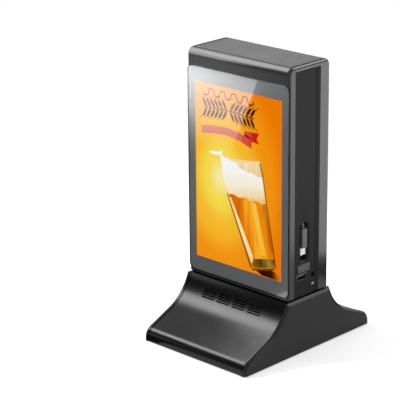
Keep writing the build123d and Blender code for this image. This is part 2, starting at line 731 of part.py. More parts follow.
flex_low = lcd_low - 0.9
flex_top = main_board_mid - main_board_height / 2 + 8.0
with BuildPart() as display_flex:
    with BuildSketch(Plane.YZ.offset(-flex_width / 2)):
        with BuildLine():
            Polyline(
                (backlight_front_y + 0.4, lcd_low),
                (backlight_front_y + 0.4, flex_low),
                (flange_back_y + 1.2, flex_low),
                (flange_back_y + 1.2, flex_top),
                (flange_back_y + 1.2 - flex, flex_top),
                (flange_back_y + 1.2 - flex, flex_low + flex),
                (backlight_front_y + 0.4 + flex, flex_low + flex),
                (backlight_front_y + 0.4 + flex, lcd_low),
                close=True,
            )
        make_face()
    extrude(amount=flex_width)
finish(display_flex, "display_flex")

# ---------------------------------------------------------------- base shell
with BuildPart() as base_room:
    # everything under the skirts' outer faces, used to trim what stands inside them
    with BuildSketch(Plane.YZ.offset(-cheek_inner)):
        add(skirt_face())
    extrude(amount=2 * cheek_inner)

skirt_room = skirt_face()
with BuildSketch() as skirt_section:
    add(skirt_room)
    offset(skirt_room, amount=-wall, kind=Kind.INTERSECTION, mode=Mode.SUBTRACT)
    with Locations((0, foot_height)):
        Rectangle(2 * (base_half - wall), 2 * wall, mode=Mode.SUBTRACT)
    with Locations((0, base_height)):
        Rectangle(2 * deck_half - 2 * wall, 2 * wall, mode=Mode.SUBTRACT)

bend = bend_edge()
grille_point = bend @ grille_middle
grille_along = bend % grille_middle
grille_out = Vector(0, -grille_along.Z, grille_along.Y)
grille_plane = Plane(origin=grille_point, x_dir=(1, 0, 0), z_dir=grille_out)
speaker_centre = (speaker_length + speaker_gap) / 2


def skirt(side):
    """One skirt: side -1 is the front, which has the grille, and 1 the rear."""
    with BuildPart() as shell:
        with BuildSketch(Plane.YZ.offset(-cheek_inner)):
            add(skirt_section.sketch)
        extrude(amount=2 * cheek_inner)
        with Locations((0, -side * base_length / 2, base_height / 2)):
            Box(base_width, base_length, 2 * base_height, mode=Mode.SUBTRACT)
        if side < 0:
            # frame that the loudspeakers' gasket seats on
            with BuildSketch(grille_plane.offset(-speaker_seat)):
                with Locations((-speaker_centre, 0), (speaker_centre, 0)):
                    Rectangle(speaker_length, speaker_width)
                    Rectangle(speaker_length - 2 * gasket_rim, speaker_width - 2 * gasket_rim,
                              mode=Mode.SUBTRACT)
            extrude(amount=speaker_seat + 3.0)
        # posts for the screws from below
        with Locations((-base_screw_x, side * base_screw_y, tray_top), (base_screw_x, side * base_screw_y, tray_top)):
            Cylinder(boss_diameter / 2, base_height, align=(Align.CENTER, Align.CENTER, Align.MIN))
            Cylinder(screw_diameter / 2, 8.0, align=(Align.CENTER, Align.CENTER, Align.MIN), mode=Mode.SUBTRACT)
        add(base_room.part, mode=Mode.INTERSECT)
        if side < 0:
            for row in range(slot_rows):
                along = grille_middle + (row - (slot_rows - 1) / 2) * slot_row_pitch / bend.length
                row_along = bend % along
                row_out = Vector(0, -row_along.Z, row_along.Y)
                with BuildSketch(Plane(origin=bend @ along, x_dir=(1, 0, 0), z_dir=row_out)):
                    with GridLocations(slot_pitch, 1.0, slot_columns, 1):
                        SlotOverall(slot_length, slot_width)
                extrude(amount=2 * wall, both=True, mode=Mode.SUBTRACT)
    return shell


front_skirt = skirt(-1)
finish(front_skirt, "front_skirt")
rear_skirt = skirt(1)
finish(rear_skirt, "rear_skirt")

rail_top = deck_low
for side, name in ((-1, "left_cheek"), (1, "right_cheek")):
    with BuildPart() as cheek:
        with BuildSketch(Plane.YZ.offset(side * cheek_inner)):
            add(skirt_face(cheek_proud))
            with Locations((0, foot_height - cheek_proud / 2), (0, base_height + cheek_proud / 2)):
                Rectangle(2 * base_length, cheek_proud, mode=Mode.SUBTRACT)
        extrude(amount=side * cheek_thickness)
        outer_face = cheek.faces().sort_by(Axis.X)[-1 if side > 0 else 0]
        fillet(outer_face.edges().sort_by(Axis.Z)[1:], cheek_edge_radius)
        # rails that carry the deck and the tray
        with Locations((side * (cheek_inner - rail_width / 2), 0, rail_top - rail_height / 2)):
            Box(rail_width, 2 * (deck_half - 3 * wall), rail_height)
        with Locations((side * (cheek_inner - rail_width / 2), 0, tray_top + rail_height / 2)):
            Box(rail_width, 2 * (bend_start - wall), rail_height)
    finish(cheek, name)

with BuildPart() as base_tray:
    with BuildSketch(Plane.XY.offset(tray_low)):
        Rectangle(2 * (cheek_inner - fit_gap), 2 * (base_half - wall - fit_gap))
    extrude(amount=wall)
    # feet seats and screw holes
    with Locations((0, 0, tray_low)):
        with GridLocations(2 * foot_x, 2 * foot_y, 2, 2):
            Cylinder(foot_diameter / 2 + fit_gap, 2 * foot_seat, mode=Mode.SUBTRACT)
        with GridLocations(2 * base_screw_x, 2 * base_screw_y, 2, 2):
            Cylinder(screw_diameter / 2 + fit_gap, 4 * wall, mode=Mode.SUBTRACT)
finish(base_tray, "base_tray")

for x, y, name in ((-foot_x, -foot_y, "foot_front_left"), (foot_x, -foot_y, "foot_front_right"),
                   (-foot_x, foot_y, "foot_rear_left"), (foot_x, foot_y, "foot_rear_right")):
    with BuildPart() as foot:
        with Locations((x, y, 0)):
            Cylinder(foot_diameter / 2, foot_height + foot_seat, align=(Align.CENTER, Align.CENTER, Align.MIN))
        fillet(foot.faces().sort_by(Axis.Z)[0].edges(), 0.5)
    finish(foot, name)

with BuildPart() as base_deck:
    with BuildSketch(Plane.XY.offset(deck_low)):
        Rectangle(2 * (cheek_inner - fit_gap), 2 * (deck_half - wall - fit_gap))
    extrude(amount=deck_thickness)
    with Locations((0, 0, deck_top)):
        with GridLocations(2 * bolt_x, 2 * bolt_y, 2, 2):
            Cylinder(bolt_diameter / 2 + fit_gap, 4 * deck_thickness, mode=Mode.SUBTRACT)
        Cylinder(wire_hole / 2, 4 * deck_thickness, mode=Mode.SUBTRACT)
finish(base_deck, "base_deck")

gasket_inset = 1.0
with BuildPart() as tower_gasket:
    with BuildSketch(Plane.XY.offset(deck_top)):
        Rectangle(2 * (cheek_inner - 2 * fit_gap), tower_depth - 2 * gasket_inset)
        with GridLocations(2 * bolt_x, 2 * bolt_y, 2, 2):
            Circle(bolt_diameter / 2 + fit_gap, mode=Mode.SUBTRACT)
        Circle(wire_hole / 2, mode=Mode.SUBTRACT)
    extrude(amount=tower_bottom - deck_top)
finish(tower_gasket, "tower_gasket")

# bolts from under the deck into a stiffening plate on the tower floor
stiffener_thickness = 2.0
with BuildPart() as tower_stiffener:
    with BuildSketch(Plane.XY.offset(tower_floor)):
        RectangleRounded(2 * bolt_x + 12.0, 2 * bolt_y + 12.0, 3.0)
        with GridLocations(2 * bolt_x, 2 * bolt_y, 2, 2):
            Circle(bolt_diameter / 2, mode=Mode.SUBTRACT)
        Circle(wire_hole / 2, mode=Mode.SUBTRACT)
        with Locations(*[(x, y) for x in standoffs_x for y in standoffs_y]):
            Circle(standoff_diameter / 2 + fit_gap, mode=Mode.SUBTRACT)
    extrude(amount=stiffener_thickness)
finish(tower_stiffener, "tower_stiffener")

with BuildPart() as tower_bolts:
    with Locations((0, 0, deck_low)):
        with GridLocations(2 * bolt_x, 2 * bolt_y, 2, 2):
            Cylinder(bolt_head / 2, bolt_head_height, align=(Align.CENTER, Align.CENTER, Align.MAX))
            Cylinder(bolt_diameter / 2, tower_floor + stiffener_thickness - deck_low,
                     align=(Align.CENTER, Align.CENTER, Align.MIN))
    chamfer(tower_bolts.faces().group_by(Axis.Z)[0].edges(), 0.5)
finish(tower_bolts, "tower_bolts")

with BuildPart() as housing_screws:
    head_seat_y = half_depth - screw_head_height - 0.6
    with Locations(Plane.XZ.offset(-head_seat_y)):
        with Locations(*[(x, z) for x in (-housing_screw_x, housing_screw_x)
                         for z in (housing_screw_bottom, housing_screw_top)]):
            Cylinder(screw_head / 2, screw_head_height, align=(Align.CENTER, Align.CENTER, Align.MAX))
            Cylinder(screw_diameter / 2, head_seat_y - split_y + 4.0, align=(Align.CENTER, Align.CENTER, Align.MIN))
finish(housing_screws, "housing_screws")

with BuildPart() as base_screws:
    with Locations((0, 0, tray_low)):
        with GridLocations(2 * base_screw_x, 2 * base_screw_y, 2, 2):
            Cylinder(screw_head / 2, foot_height - 0.3, align=(Align.CENTER, Align.CENTER, Align.MAX))
            Cylinder(screw_diameter / 2, wall + 7.0, align=(Align.CENTER, Align.CENTER, Align.MIN))
finish(base_screws, "base_screws")

# ---------------------------------------------------------------- loudspeakers
seal_plane = grille_plane.offset(-speaker_seat)
for side, name in ((-1, "left_speaker"), (1, "right_speaker")):
    with BuildPart() as speaker:
        with BuildSketch(seal_plane.offset(-gasket_thickness)):
            with Locations((side * speaker_centre, 0)):
                RectangleRounded(speaker_length, speaker_width, 2.0)
        extrude(amount=-2.0)
        with BuildSketch(seal_plane.offset(-gasket_thickness - 2.0)):
            with Locations((side * speaker_centre, 0)):
                RectangleRounded(speaker_length - 10.0, speaker_width - 5.0, 2.0)
        extrude(amount=-(speaker_thickness - 2.0))
        with BuildSketch(seal_plane.offset(-gasket_thickness)):
            with Locations((side * speaker_centre, 0)):
                SlotOverall(speaker_length - 2 * gasket_rim - 2.0, speaker_width - 2 * gasket_rim - 1.0)
                SlotOverall(speaker_length - 2 * gasket_rim - 12.0, speaker_width - 2 * gasket_rim - 6.0,
                            mode=Mode.SUBTRACT)
        extrude(amount=-1.0, mode=Mode.SUBTRACT)
    finish(speaker, name)

with BuildPart() as speaker_gaskets:
    with BuildSketch(seal_plane):
        with Locations((-speaker_centre, 0), (speaker_centre, 0)):
            Rectangle(speaker_length, speaker_width)
            Rectangle(speaker_length - 2 * gasket_rim, speaker_width - 2 * gasket_rim, mode=Mode.SUBTRACT)
    extrude(amount=-gasket_thickness)
finish(speaker_gaskets, "speaker_gaskets")

# ---------------------------------------------------------------- ballast and battery
ballast_top = tray_top + ballast_thickness
with BuildPart() as ballast_plate:
    with BuildSketch(Plane.XY.offset(tray_top)):
        RectangleRounded(ballast_width, ballast_length, 3.0)
        with GridLocations(2 * base_screw_x, 2 * base_screw_y, 2, 2):
            Circle(boss_diameter / 2 + 1.0, mode=Mode.SUBTRACT)
    extrude(amount=ballast_thickness)
finish(ballast_plate, "ballast_plate")

cell_z = ballast_top + cradle_floor + cradle_clearance + cell_diameter / 2
cradle_width = cell_length + 2 * cradle_wall + 2 * cradle_clearance
cradle_length = cell_count * cell_pitch + 2 * cradle_wall
protection_z = cell_z + cell_diameter / 2 + 0.6
with BuildPart() as battery_cradle:
    cradle_half_height = cell_z - ballast_top
    with Locations((0, 0, ballast_top)):
        Box(cradle_width, cradle_length, cradle_half_height, align=(Align.CENTER, Align.CENTER, Align.MIN))
    with Locations((0, 0, cell_z)):
        with GridLocations(1.0, cell_pitch, 1, cell_count):
            Cylinder(cell_diameter / 2 + cradle_clearance, cell_length + 2 * cradle_clearance,
                     rotation=(0, 90, 0), mode=Mode.SUBTRACT)
    # end posts that carry the protection board
    for side in (-1, 1):
        with Locations((side * (cradle_width - cradle_wall) / 2, 0, ballast_top)):
            Box(cradle_wall, protection_width, protection_z - ballast_top,
                align=(Align.CENTER, Align.CENTER, Align.MIN))
finish(battery_cradle, "battery_cradle")

with BuildPart() as battery_cells:
    with Locations((0, 0, cell_z - cradle_clearance)):
        with GridLocations(1.0, cell_pitch, 1, cell_count):
            Cylinder(cell_diameter / 2, cell_length, rotation=(0, 90, 0))
finish(battery_cells, "battery_cells")

with BuildPart() as protection_board:
    with Locations((0, 0, protection_z)):
        Box(cradle_width, protection_width, board_thickness, align=(Align.CENTER, Align.CENTER, Align.MIN))
    with Locations((0, 0, protection_z + board_thickness)):
        with GridLocations(16.0, 1.0, 3, 1):
            Box(9.0, 8.0, 1.4, align=(Align.CENTER, Align.CENTER, Align.MIN))
finish(protection_board, "protection_board")

# wires from the battery board up to the main board
loom_diameter = 4.0
loom_low = protection_z + board_thickness
loom_turn = 90.0
loom_high = main_board_mid - main_board_height / 2 + 2.0
with BuildPart() as wiring_loom:
    with BuildLine() as loom_path:
        FilletPolyline((0, 0, loom_low + 1.4), (0, 0, loom_turn), (-30.0, 0, loom_turn + 30.0),
                       (-30.0, 0, loom_high), (-30.0, board_back_y + 8.0, loom_high + 6.0), radius=6.0)
    with BuildSketch(Plane.XY.offset(loom_low + 1.4)):
        Circle(loom_diameter / 2)
    sweep()
finish(wiring_loom, "wiring_loom")
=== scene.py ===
from math import atan2, cos, pi, radians, sin

import bmesh
import bpy
from mathutils import Matrix, Vector


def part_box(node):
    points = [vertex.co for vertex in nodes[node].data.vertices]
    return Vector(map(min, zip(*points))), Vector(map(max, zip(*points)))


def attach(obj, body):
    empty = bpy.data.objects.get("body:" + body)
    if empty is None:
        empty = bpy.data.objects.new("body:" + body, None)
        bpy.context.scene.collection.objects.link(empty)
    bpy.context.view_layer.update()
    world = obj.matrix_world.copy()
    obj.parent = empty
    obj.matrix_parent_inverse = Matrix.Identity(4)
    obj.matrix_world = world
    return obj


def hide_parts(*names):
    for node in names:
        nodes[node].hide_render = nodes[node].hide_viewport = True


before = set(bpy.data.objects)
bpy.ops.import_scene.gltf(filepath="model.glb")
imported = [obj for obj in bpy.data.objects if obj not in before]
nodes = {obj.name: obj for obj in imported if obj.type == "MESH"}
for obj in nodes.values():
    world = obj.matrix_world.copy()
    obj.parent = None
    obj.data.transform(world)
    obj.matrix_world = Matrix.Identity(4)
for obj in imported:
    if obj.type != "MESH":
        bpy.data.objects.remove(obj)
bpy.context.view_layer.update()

MM = 0.001
scene = bpy.context.scene
scene.view_settings.view_transform = "Standard"

# ---------------------------------------------------------------- camera
# The lens sits 1.76 m away, to the right of the screen side, and looks a little down.
camera_azimuth = radians(44.19)
camera_elevation = radians(18.61)
camera_roll = radians(-0.59)
camera_distance = 1755.8 * MM
camera_target = Vector((-75.3, 0.0, 116.7)) * MM

back = Vector((sin(camera_azimuth) * cos(camera_elevation),
               -cos(camera_azimuth) * cos(camera_elevation),
               sin(camera_elevation)))
level = Vector((cos(camera_azimuth), sin(camera_azimuth), 0.0))
right = Matrix.Rotation(camera_roll, 3, back) @ level
lens = bpy.data.cameras.new("camera")
lens.lens = 163.56
lens.sensor_width = 36.0
camera = bpy.data.objects.new("camera", lens)
camera.matrix_world = Matrix.Translation(camera_target + back * camera_distance) @ Matrix(
    (right, back.cross(right), back)).transposed().to_4x4()
scene.collection.objects.link(camera)
scene.camera = camera


# ---------------------------------------------------------------- small tools
def linear(hex_colour):
    """A colour written as an sRGB hex value, as the linear colour a shader takes."""
    parts = [int(hex_colour[i:i + 2], 16) / 255 for i in (1, 3, 5)]
    return [c / 12.92 if c <= 0.04045 else ((c + 0.055) / 1.055) ** 2.4 for c in parts] + [1.0]


def add(tree, kind, inputs=(), **settings):
    """Add a node of a kind, set its options, and fill its sockets with values or links."""
    made = tree.nodes.new(kind)
    for name, value in settings.items():
        setattr(made, name, value)
    for socket, value in dict(inputs).items():
        if isinstance(value, bpy.types.NodeSocket):
            tree.links.new(value, made.inputs[socket])
        else:
            made.inputs[socket].default_value = value
    return made


def finish(name):
    """A new empty finish: its material and its node tree."""
    made = bpy.data.materials.new(name)
    made.use_nodes = True
    made.node_tree.nodes.clear()
    return made, made.node_tree


def surface(tree, shader):
    add(tree, "ShaderNodeOutputMaterial", {"Surface": shader.outputs[0]})


def piece(name, shape, material, body="stand"):
    """A finished mesh piece, with its place in its mesh, riding on a body."""
    mesh = bpy.data.meshes.new(name)
    shape.to_mesh(mesh)
    shape.free()
    mesh.materials.append(material)
    made = bpy.data.objects.new(name, mesh)
    scene.collection.objects.link(made)
    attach(made, body)
    return made


# ---------------------------------------------------------------- finishes
drift_size = 42 * MM            # slow changes of tone over a moulding
smear_size = 24 * MM            # traces of handling on the glass
cell_size = 0.8 * MM            # grain of the display, drawn coarser than its real 0.13 mm so that it shows


def moulded(name, colour, roughness, grain_mm, grain_depth_mm, mottle=0.15, specular=0.5):
    """Moulded plastic or rubber with the grain of its tool; paper and ink take the same speckle.

    The grain gives a fine broken sparkle, and slow changes in tone and gloss
    give the slight unevenness of a large moulding.
    """
    made, tree = finish(name)
    place = add(tree, "ShaderNodeTexCoord").outputs["Object"]
    grain = add(tree, "ShaderNodeTexNoise", {"Vector": place, "Scale": 1 / (grain_mm * MM),
                                             "Detail": 2.0, "Roughness": 0.6})
    flow = add(tree, "ShaderNodeTexNoise", {"Vector": place, "Scale": 1 / drift_size, "Detail": 3.0})
    tone = add(tree, "ShaderNodeMapRange", {"Value": flow.outputs["Fac"], "From Min": 0.3, "From Max": 0.7,
                                            "To Min": 1 - mottle, "To Max": 1 + mottle})
    speck = add(tree, "ShaderNodeMapRange", {"Value": grain.outputs["Fac"], "From Min": 0.3, "From Max": 0.7,
                                             "To Min": 1 - mottle, "To Max": 1 + mottle})
    both = add(tree, "ShaderNodeMath", {0: tone.outputs[0], 1: speck.outputs[0]}, operation="MULTIPLY")
    paint = add(tree, "ShaderNodeVectorMath", {0: linear(colour)[:3], "Scale": both.outputs[0]},
                operation="SCALE")
    gloss = add(tree, "ShaderNodeMath", {0: tone.outputs[0], 1: roughness}, operation="MULTIPLY")
    bump = add(tree, "ShaderNodeBump", {"Height": grain.outputs["Fac"], "Strength": 1.0,
                                        "Distance": grain_depth_mm * MM})
    surface(tree, add(tree, "ShaderNodeBsdfPrincipled", {
        "Base Color": paint.outputs[0], "Roughness": gloss.outputs[0], "IOR": 1.5,
        "Specular IOR Level": specular, "Normal": bump.outputs[0]}))
    return made


# Rear shell: ABS from a polished tool, which mirrors the room softly.
housing_gloss = moulded("polished_ABS_housing", "#272729", 0.15, 3.0, 0.006, 0.06, 0.42)
# Front frame: ABS from a satin tool, whose rounded edges catch broad soft highlights.
front_satin = moulded("satin_ABS_front", "#2a2a2c", 0.22, 1.6, 0.008, 0.06, 0.32)
# Side panels: ABS with a spark-eroded grain, dull and even, with no mirror image.
panel_matte = moulded("spark_textured_ABS_panel", "#202022", 0.5, 0.9, 0.05, 0.12, 0.06)
# Top cap and blank pad: coarse-grained ABS, greyer because its grain scatters the light.
cap_textured = moulded("coarse_textured_ABS_cap", "#2c2c2e", 0.34, 1.3, 0.16, 0.22)
# Base: satin ABS, nearly black, with one long soft highlight along each curve.
base_satin = moulded("satin_ABS_base", "#0c0c0d", 0.24, 1.1, 0.02, 0.08, 0.24)
# Tray, deck and cradle: plain ABS, dull black.
base_tray_plastic = moulded("plain_ABS_tray", "#141416", 0.5, 1.4, 0.05, 0.1, 0.3)
# Buttons: satin ABS, a shade lighter than the panel round them.
button_satin = moulded("satin_ABS_button", "#39393b", 0.35, 0.9, 0.02, 0.08)
# Insulators in the sockets and switches: nylon, dull black.
insulator = moulded("nylon_insulator", "#101011", 0.5, 0.8, 0.03, 0.1)
# Plug: gloss white ABS, clean and bright.
white_plastic = moulded("gloss_white_ABS", "#ffffff", 0.18, 1.2, 0.006, 0.015)
# Lead and overmould: thermoplastic elastomer, dark grey with a soft sheen.
overmould_rubber = moulded("TPE_overmould", "#414143", 0.5, 0.8, 0.05, 0.08)
# Seals, gaskets and grommet: EPDM rubber, the deepest black, with almost no gloss. The same black laid as
# strips in the cap's grooves is painted shade.
seal_rubber_and_painted_shade = moulded("EPDM_seal_and_painted_shade", "#030303", 0.6, 0.9, 0.01, 0.05, 0.04)
# Feet: silicone rubber, dull dark grey.
foot_rubber = moulded("silicone_foot", "#1d1d1e", 0.65, 1.0, 0.06, 0.12, 0.35)
# Chips and the unlit body of the display: moulded epoxy, flat charcoal.
chip_epoxy = moulded("chip_epoxy", "#232324", 0.55, 0.7, 0.04, 0.1)
# Light pipe: frosted acrylic, pale and milky.
clear_pipe = moulded("frosted_acrylic", "#c9ced2", 0.25, 0.8, 0.02, 0.04)
# Loudspeakers: coated paper, fibrous and dull.
cone_paper = moulded("coated_speaker_paper", "#252527", 0.6, 0.7, 0.06, 0.18)
# Button marks: pad-printed ink, a flat pale grey.
mark_ink = moulded("pad_printed_ink", "#b9bbbd", 0.45, 0.6, 0.01, 0.05)


def metal(name, colour, roughness, brush_mm, streak):
    """Sheet or turned metal, with streaks left by rolling or turning."""
    made, tree = finish(name)
    place = add(tree, "ShaderNodeTexCoord").outputs["Object"]
    pull = add(tree, "ShaderNodeMapping", {"Vector": place, "Scale": (0.08, 1.0, 1.0)})
    lines = add(tree, "ShaderNodeTexNoise", {"Vector": pull.outputs[0], "Scale": 1 / (brush_mm * MM),
                                             "Detail": 3.0})
    tone = add(tree, "ShaderNodeMapRange", {"Value": lines.outputs["Fac"], "From Min": 0.25, "From Max": 0.75,
                                            "To Min": 1 - streak, "To Max": 1 + streak})
    paint = add(tree, "ShaderNodeVectorMath", {0: linear(colour)[:3], "Scale": tone.outputs[0]},
                operation="SCALE")
    gloss = add(tree, "ShaderNodeMath", {0: tone.outputs[0], 1: roughness}, operation="MULTIPLY")
    surface(tree, add(tree, "ShaderNodeBsdfPrincipled", {
        "Base Color": paint.outputs[0], "Metallic": 1.0, "Roughness": gloss.outputs[0]}))
    return made


# Socket shell: nickel plate, darkened to a warm mid grey.
nickel = metal("darkened_nickel_plate", "#6f6d6b", 0.34, 0.9, 0.08)
# Bolts, screws, posts and standoffs: zinc plate on turned steel, bright and faintly streaked.
zinc = metal("zinc_plated_steel", "#b9babd", 0.34, 0.8, 0.12)
# Bracket, clip and stiffener: mill-finish sheet steel, streaked by rolling.
pressed_steel = metal("pressed_steel_sheet", "#a9aaac", 0.38, 1.2, 0.1)
# Ballast and housing screws: black-oxide steel, dark with a low sheen.
blackened = metal("black_oxide_steel", "#4a4a4c", 0.5, 2.0, 0.2)
# Socket contacts: a gold flash, warm and bright.
gold = metal("gold_flash", "#e2b65a", 0.25, 0.7, 0.05)
# Gauze in the grille: blackened wire mesh, drawn coarser than its real 0.1 mm wires so that it shows.
gauze = metal("black_wire_gauze", "#2b2b2d", 0.45, 0.9, 0.3)


def films(name, colour, roughness, weave_mm, contrast):
    """Coated board or film with a faint crossed weave or print under its coating."""
    made, tree = finish(name)
    place = add(tree, "ShaderNodeTexCoord").outputs["Object"]
    weave = add(tree, "ShaderNodeTexWave", {"Vector": place, "Scale": 1 / (weave_mm * MM * 2 * pi),
                                            "Distortion": 1.5, "Detail": 2.0}, bands_direction="DIAGONAL")
    tone = add(tree, "ShaderNodeMapRange", {"Value": weave.outputs["Fac"], "To Min": 1 - contrast,
                                            "To Max": 1 + contrast})
    paint = add(tree, "ShaderNodeVectorMath", {0: linear(colour)[:3], "Scale": tone.outputs[0]},
                operation="SCALE")
    surface(tree, add(tree, "ShaderNodeBsdfPrincipled", {
        "Base Color": paint.outputs[0], "Roughness": roughness, "IOR": 1.55,
        "Coat Weight": 0.4, "Coat Roughness": 0.12}))
    return made


# Circuit boards: green solder mask over a faint glass weave.
board_mask = films("solder_mask_on_FR4", "#1d5233", 0.35, 1.1, 0.12)
# Display cable: polyimide film, a clear amber.
polyimide = films("polyimide_flat_cable", "#a86a1e", 0.3, 1.4, 0.1)
# Battery cells: blue shrink film, glossy.
cell_wrap = films("shrink_wrap_film", "#2a5f9e", 0.28, 4.0, 0.06)
# Backlight case: white reflector film, bright and even.
reflector = films("white_reflector_film", "#e8e9e8", 0.5, 3.0, 0.02)
# Glass tape: black acrylic foam, dull.
foam_tape = films("acrylic_foam_tape", "#151516", 0.7, 0.9, 0.2)
# Wires: a braided sleeve, its plaits showing as a fine dark weave.
sleeve = films("braided_sleeve", "#1b1b1d", 0.6, 0.8, 0.3)
# Border of the glass: black enamel screen-printed on its back, drawn mid grey as painted haze and reflection
# over the black, and nearly as sharp in its gloss as the glass.
print_with_painted_haze = films("black_print_with_painted_haze", "#848688", 0.08, 0.9, 0.03)

# Toughened cover glass: clear and sharp, with a trace of handling on its face.
cover, tree = finish("toughened_cover_glass")
place = add(tree, "ShaderNodeTexCoord").outputs["Object"]
smear = add(tree, "ShaderNodeTexNoise", {"Vector": place, "Scale": 1 / smear_size, "Detail": 4.0})
haze = add(tree, "ShaderNodeMapRange", {"Value": smear.outputs["Fac"], "From Min": 0.45, "From Max": 0.8,
                                        "To Min": 0.012, "To Max": 0.035})
surface(tree, add(tree, "ShaderNodeBsdfPrincipled", {
    "Base Color": linear("#ffffff"), "Roughness": haze.outputs[0], "IOR": 1.5, "Transmission Weight": 1.0}))


glass_lean = radians(15.6)      # how far the pictured glass leans over
glow_squeeze = 0.72             # heights count for less, so that the glow behind it is taller than wide


def lit(name, stops, run=None, spot=None, wave_mm=0.0, ripple=0.0):
    """A lit area of the display with a run of colours and the fine even grain of its cells.

    The colours run between two points on the screen, or out from a spot given
    by its place and its reach, all in millimetres.
    """
    made, tree = finish(name)
    place = add(tree, "ShaderNodeTexCoord").outputs["Object"]
    if run:
        start, end = (Vector((x, 0.0, z)) * MM for x, z in run)
        way = (end - start) / (end - start).length_squared
        along = add(tree, "ShaderNodeVectorMath", {0: place, 1: start}, operation="SUBTRACT")
        along = add(tree, "ShaderNodeVectorMath", {0: along.outputs[0], 1: way},
                    operation="DOT_PRODUCT").outputs["Value"]
    else:
        x, z, reach = (size * MM for size in spot)
        ray = add(tree, "ShaderNodeVectorMath", {0: place, 1: Vector((x, 0.0, z))}, operation="SUBTRACT")
        ray = add(tree, "ShaderNodeVectorMath", {0: ray.outputs[0], 1: (1.0, 0.0, glow_squeeze)},
                  operation="MULTIPLY")
        ray = add(tree, "ShaderNodeVectorMath", {0: ray.outputs[0]}, operation="LENGTH")
        along = add(tree, "ShaderNodeMath", {0: ray.outputs["Value"], 1: reach},
                    operation="DIVIDE").outputs[0]
    if ripple:
        wave = add(tree, "ShaderNodeMapping", {"Vector": place, "Rotation": (0.0, -glass_lean, 0.0),
                                               "Scale": (1.0, 1.0, 0.06)})
        wave = add(tree, "ShaderNodeTexNoise", {"Vector": wave.outputs[0], "Scale": 1 / (wave_mm * MM),
                                                "Detail": 2.0})
        wave = add(tree, "ShaderNodeMath", {0: wave.outputs["Fac"], 1: 0.5}, operation="SUBTRACT")
        along = add(tree, "ShaderNodeMath", {0: wave.outputs[0], 1: ripple, 2: along},
                    operation="MULTIPLY_ADD").outputs[0]
    ramp = add(tree, "ShaderNodeValToRGB", {"Fac": along})
    ramp.color_ramp.interpolation = "EASE"
    for number, (position, colour) in enumerate(stops):
        stop = ramp.color_ramp.elements[number] if number < 2 else ramp.color_ramp.elements.new(position)
        stop.position = position
        stop.color = linear(colour)
    cells = add(tree, "ShaderNodeTexNoise", {"Vector": place, "Scale": 1 / cell_size, "Detail": 1.0})
    cells = add(tree, "ShaderNodeMapRange", {"Value": cells.outputs["Fac"], "To Min": 0.97, "To Max": 1.03})
    surface(tree, add(tree, "ShaderNodeEmission", {"Color": ramp.outputs["Color"],
                                                   "Strength": cells.outputs[0]}))
    return made


# Backdrop: pale yellow light behind the glass that deepens to orange at the corners.
backdrop_glow = lit("lit_amber_backdrop", [(0.0, "#fff4b0"), (0.2, "#ffe250"), (0.42, "#ffc02e"),
                                           (0.7, "#fb9812"), (1.0, "#f47e02")], spot=(-22.0, 158.0, 84.0))
# Lager: amber at the walls of the glass and gold in the middle, where light comes through.
beer_gold = lit("lit_lager", [(0.0, "#c65a00"), (0.3, "#ee7600"), (0.55, "#ffb028"), (0.78, "#f08c10"),
                              (1.0, "#c85c00")], ((-8.0, 118.0), (40.0, 131.0)), wave_mm=5.0, ripple=0.5)
# Foam: cream where it meets the lager, white above.
foam_white = lit("lit_foam", [(0.0, "#f2c878"), (0.2, "#fbe4b4"), (0.5, "#fff6e0"), (1.0, "#ffffff")],
                 ((8.0, 141.0), (2.0, 172.0)), wave_mm=3.0, ripple=0.25)
# Walls of the glass: clear, so amber low down and pale at the lip.
glass_wall = lit("lit_glass_wall", [(0.0, "#c87a14"), (0.5, "#e8b04a"), (1.0, "#fff3cf")],
                 ((44.0, 80.0), (-18.0, 184.0)), wave_mm=2.5, ripple=0.4)
# Foot of the glass: thick, so olive and brown with a light fleck.
glass_base = lit("lit_glass_base", [(0.0, "#8a5a10"), (0.4, "#5c4410"), (0.7, "#a08030"), (1.0, "#4a3208")],
                 ((19.0, 80.0), (46.0, 94.0)), wave_mm=2.0, ripple=0.5)
# Light caught along the wall and the lip of the glass.
glass_shine = lit("lit_shine", [(0.0, "#ffd890"), (0.5, "#fff0b0"), (1.0, "#ffdc98")],
                  ((17.0, 80.0), (-10.0, 140.0)), wave_mm=3.0, ripple=0.6)
# Dark line where the wall of the glass turns away.
glass_line = lit("lit_glass_line", [(0.0, "#7a3c06"), (0.5, "#8c5212"), (1.0, "#a8702c")],
                 ((44.0, 80.0), (-18.0, 184.0)), wave_mm=2.0, ripple=0.3)
# Shadow under the glass: deep brown, out to the orange of the ground.
floor_shade = lit("lit_shadow", [(0.0, "#2c0c00"), (0.55, "#3c1200"), (1.0, "#f07c04")],
                  ((26.0, 76.0), (54.0, 80.0)))
# Bright streak down the lager.
beer_streak = lit("lit_streak", [(0.0, "#ffcc48"), (1.0, "#ffbe30")], ((17.0, 143.0), (32.0, 92.0)),
                  wave_mm=3.0, ripple=0.5)
# Barley: dark roast brown, uneven like a wood block's ink.
grain_brown = lit("lit_barley", [(0.0, "#5a2c12"), (0.5, "#63351a"), (1.0, "#401f0c")],
                  ((-40.0, 213.0), (22.0, 231.0)), wave_mm=2.0, ripple=0.4)
# Running wave over the barley: the same brown, flat.
wave_brown = lit("lit_wave", [(0.0, "#4a2408"), (1.0, "#4a2004")], ((-45.0, 232.0), (20.0, 242.0)))
# Ribbon: faded rose at its middle and full red at its tail, darker inside the fold.
ribbon_red = lit("lit_ribbon", [(0.0, "#e08478"), (0.6, "#de7c6c"), (0.85, "#d85040"), (1.0, "#d01c10")],
                 ((-46.0, 200.0), (22.0, 200.0)), wave_mm=4.0, ripple=0.2)
ribbon_fold = lit("lit_ribbon_fold", [(0.0, "#8a1408"), (1.0, "#cc2a14")], ((8.0, 204.0), (20.0, 204.0)))


